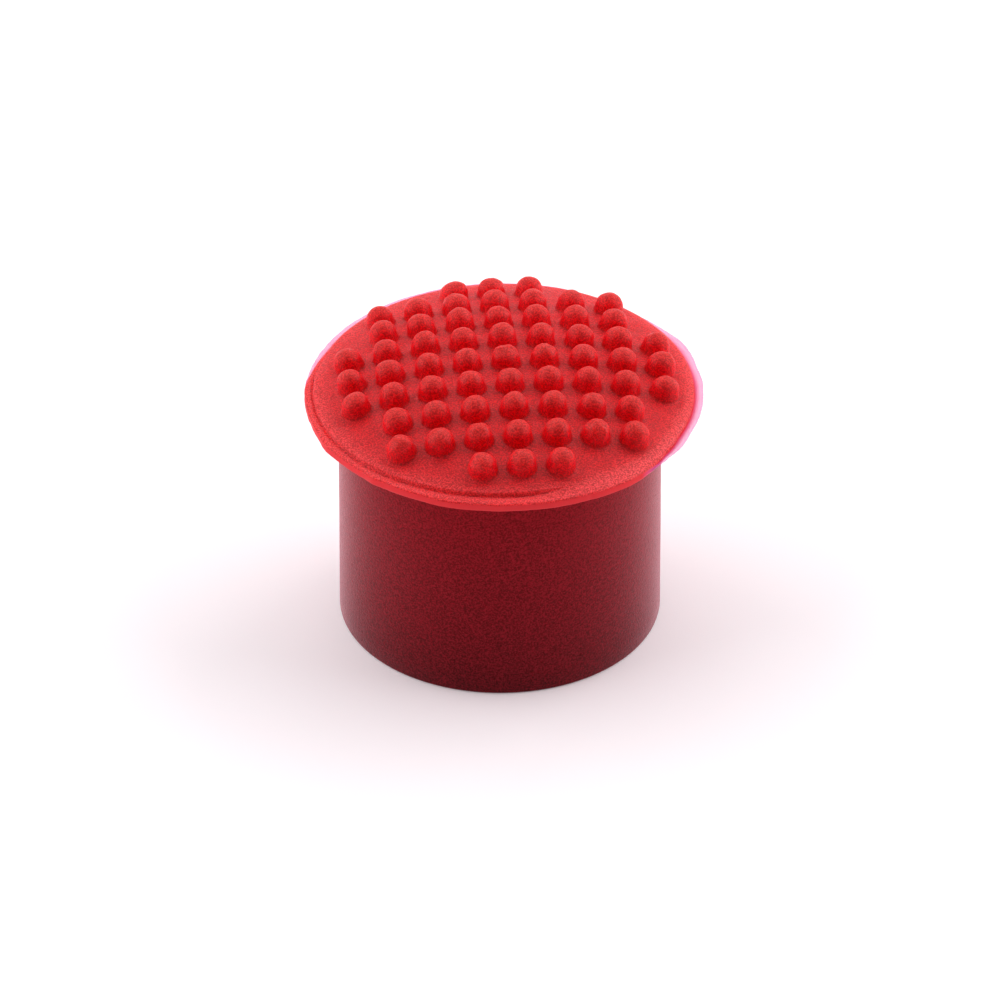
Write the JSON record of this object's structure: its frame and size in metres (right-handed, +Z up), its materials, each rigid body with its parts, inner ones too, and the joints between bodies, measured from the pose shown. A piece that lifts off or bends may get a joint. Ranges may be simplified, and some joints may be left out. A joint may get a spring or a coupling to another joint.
{
  "type": "pointing stick cap",
  "caption": "Mushroom-shaped cap for a keyboard pointing stick: a nubbed rubber dome head on a hard cylindrical sleeve with a square post socket inside.",
  "frame": {"origin": "middle of the sleeve's foot, on the plane the cap stands on", "axes": "+Z up through the dome; the rows of nubs and the sides of the square socket run along X and Y"},
  "size_m": [0.0098, 0.0098, 0.0075],
  "materials": {
    "head_rubber": "matt, slightly translucent red silicone rubber with a fine moulded grain",
    "sleeve_plastic": "satin maroon moulded plastic with a fine spark-eroded grain",
    "socket_plastic": "smooth dark maroon moulded plastic"
  },
  "bodies": {
    "root": {"dome_head": "head_rubber", "body_sleeve": "sleeve_plastic", "post_socket": "socket_plastic"}
  },
  "joints": []
}
